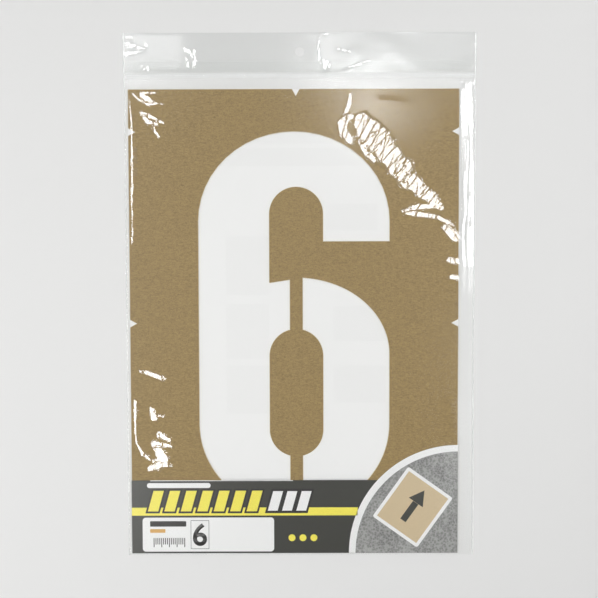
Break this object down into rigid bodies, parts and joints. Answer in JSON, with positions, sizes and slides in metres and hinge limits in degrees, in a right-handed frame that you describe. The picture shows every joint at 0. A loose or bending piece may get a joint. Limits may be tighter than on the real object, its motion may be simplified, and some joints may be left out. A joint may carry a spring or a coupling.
{
  "type": "road marking stencil",
  "caption": "Flat die-cut kraft stencil for painting a large numeral on a road, in a clear film bag with a folded printed insert and a hanging header.",
  "frame": {"origin": "middle of the pack's footprint, on the surface that its back lies on", "axes": "+X across the pack to its right, +Y towards the header, +Z out of the front"},
  "size_m": [0.315, 0.472, 0.0021],
  "materials": {
    "clear_film": "clear glossy polypropylene film",
    "fused_film": "clear film, fused and knurled",
    "adhesive": "clear adhesive",
    "kraft_card": "uncoated brown kraft board",
    "white_paper": "matt white paper",
    "printed_paper": "printed coated paper"
  },
  "bodies": {
    "bag": {"bag_front_panel": "clear_film", "bag_back_panel": "clear_film", "bag_left_margin": "clear_film", "bag_right_margin": "clear_film", "bag_bottom_fold": "clear_film", "left_side_seam": "fused_film", "right_side_seam": "fused_film", "header_weld": "fused_film"},
    "header": {"header_front_ply": "clear_film", "header_back_ply": "clear_film", "header_left_seam": "fused_film", "header_right_seam": "fused_film"},
    "lip": {"closing_lip": "clear_film", "adhesive_strip": "adhesive"},
    "insert": {"insert_back_sheet": "white_paper", "insert_fold": "printed_paper", "front_label": "printed_paper"},
    "stencil": {"stencil_card": "kraft_card"}
  },
  "joints": [
    {"name": "header_fold", "type": "hinge", "parent": "bag", "child": "header", "pos_m": [0, 0.2005, 0.00205], "axis": [1, 0, 0], "range_deg": [0, 150]},
    {"name": "lip_fold", "type": "hinge", "parent": "bag", "child": "lip", "pos_m": [0, 0.1955, 0], "axis": [-1, 0, 0], "range_deg": [0, 150]},
    {"name": "insert_slide", "type": "slide", "parent": "bag", "child": "insert", "axis": [0, 1, 0], "range_m": [0, 0.48]},
    {"name": "stencil_slide", "type": "slide", "parent": "insert", "child": "stencil", "axis": [0, 1, 0], "range_m": [0, 0.48]}
  ]
}
